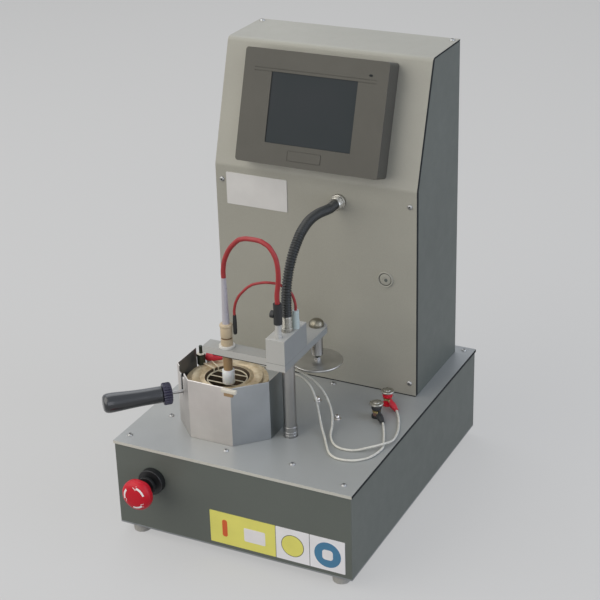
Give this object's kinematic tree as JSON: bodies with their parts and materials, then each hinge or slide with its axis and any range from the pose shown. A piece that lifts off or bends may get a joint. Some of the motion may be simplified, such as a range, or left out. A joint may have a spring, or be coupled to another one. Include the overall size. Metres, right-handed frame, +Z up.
{
  "type": "flash point tester",
  "caption": "Bench flash point tester with an open heated cup in a sheet-metal shield, a lifting and swinging ignition head, and a touch screen tower on a low base.",
  "frame": {"origin": "centre of the four feet, on the plane that their undersides stand on", "axes": "+X to the right and +Y to the back as seen by the user, +Z up"},
  "size_m": [0.3398, 0.459, 0.5712],
  "materials": {
    "pale_rubber": "matt pale grey rubber",
    "plain_steel": "plain zinc-plated steel",
    "dark_paint": "dark green-grey fine-textured paint",
    "grey_paint": "light grey fine-textured paint",
    "tower_paint": "light warm grey fine-textured paint",
    "bright_steel": "bright plated steel",
    "plate_white": "bare off-white adhesive plate",
    "black_plastic": "black moulded plastic",
    "red_plastic": "red moulded plastic",
    "pale_plastic": "pale moulded plastic",
    "chrome": "bright nickel-plated brass",
    "grey_plastic": "grey-beige moulded plastic",
    "screen_glass": "dark unlit touch panel",
    "black_rubber": "black flexible rubber",
    "brushed_steel": "brushed stainless steel",
    "polished_steel": "turned and polished stainless steel",
    "ceramic": "pale insulating board",
    "brass": "pale oxidised brass",
    "black_gloss": "glossy black phenolic",
    "dark_steel": "darkened steel",
    "red_rubber": "red silicone",
    "white_rubber": "off-white silicone",
    "aluminium": "machined aluminium",
    "peek": "tan engineering plastic",
    "ptfe": "white fluoropolymer"
  },
  "bodies": {
    "base": {"feet": "pale_rubber", "chassis_pan": "plain_steel", "base_shell": "dark_paint", "top_plate": "grey_paint", "case_screws": "bright_steel", "blank_plates": "plate_white", "stop_body": "black_plastic", "stop_contacts": "pale_plastic", "tower_sides": "dark_paint", "tower_sheet": "tower_paint", "tower_back": "dark_paint", "panel_socket": "chrome", "hmi_housing": "grey_plastic", "hmi_display": "screen_glass", "conduit_gland": "chrome", "conduit": "black_rubber", "shield": "brushed_steel", "shield_clip": "pale_plastic", "plinth": "ceramic", "hot_plate": "plain_steel", "heater_block": "brass", "cup": "brass", "handle_rod": "bright_steel", "handle_collar": "black_plastic", "handle_grip": "black_gloss", "detector_grid": "bright_steel", "terminals": "dark_steel", "clip_boot": "red_rubber", "lead_black": "white_rubber", "lead_red": "white_rubber", "posts": "brass", "lead_sleeves": "black_plastic", "bushing": "aluminium", "lift_actuator": "plain_steel", "power_units": "plain_steel", "mains_inlet": "black_plastic", "fan_frame": "black_plastic"},
    "lift": {"lift_carriage": "aluminium", "drive_belt": "black_rubber"},
    "head": {"column": "brushed_steel", "column_pulley": "aluminium", "head_plate": "grey_paint", "head_block": "grey_paint", "igniter_fitting": "peek", "igniter_stem": "pale_plastic", "igniter_sleeve": "ptfe", "spark_boot": "black_rubber", "spark_lead": "red_rubber", "probe_plug": "pale_plastic", "probe_lead": "red_rubber", "conduit_nut": "chrome", "lid_post": "brushed_steel", "lid_disc": "polished_steel"},
    "pinion": {"motor_pulley": "aluminium"},
    "stop_push": {"stop_stem": "black_plastic"},
    "stop_turn": {"stop_cap": "red_plastic"},
    "cap_black": {"post_cap_black": "black_plastic"},
    "cap_red": {"post_cap_red": "red_plastic"},
    "switch": {"rocker": "black_plastic"},
    "rotor": {"fan_rotor": "black_plastic"}
  },
  "joints": [
    {"name": "head_lift", "type": "slide", "parent": "base", "child": "lift", "axis": [0, 0, 1], "range_m": [0, 0.045], "deforming": ["conduit"]},
    {"name": "head_swing", "type": "hinge", "parent": "lift", "child": "head", "pos_m": [0.034, -0.105, 0.2], "axis": [0, 0, 1], "range_deg": [-90, 20]},
    {"name": "motor_spin", "type": "hinge", "parent": "lift", "child": "pinion", "pos_m": [0.034, -0.06, 0.07], "axis": [0, 0, 1], "range_deg": [-200, 46]},
    {"name": "stop_press", "type": "slide", "parent": "base", "child": "stop_push", "axis": [0, 1, 0], "range_m": [0, 0.005]},
    {"name": "stop_twist", "type": "hinge", "parent": "stop_push", "child": "stop_turn", "pos_m": [-0.108, -0.23, 0.088], "axis": [0, 1, 0], "range_deg": [0, 45], "stiffness_Nm_per_rad": 0.02},
    {"name": "cap_black_turn", "type": "hinge", "parent": "base", "child": "cap_black", "pos_m": [0.1135, -0.021, 0.147], "axis": [0, 0, 1], "continuous": true},
    {"name": "cap_red_turn", "type": "hinge", "parent": "base", "child": "cap_red", "pos_m": [0.1135, 0.014, 0.147], "axis": [0, 0, 1], "continuous": true},
    {"name": "switch_rock", "type": "hinge", "parent": "base", "child": "switch", "pos_m": [-0.055, 0.1998, 0.06], "axis": [1, 0, 0], "range_deg": [0, 18]},
    {"name": "fan_spin", "type": "hinge", "parent": "base", "child": "rotor", "pos_m": [0.095, 0.19, 0.072], "axis": [0, 1, 0], "continuous": true}
  ],
  "couplings": [
    {"joint": "motor_spin", "follows": "head_swing", "ratio": 2.2}
  ]
}
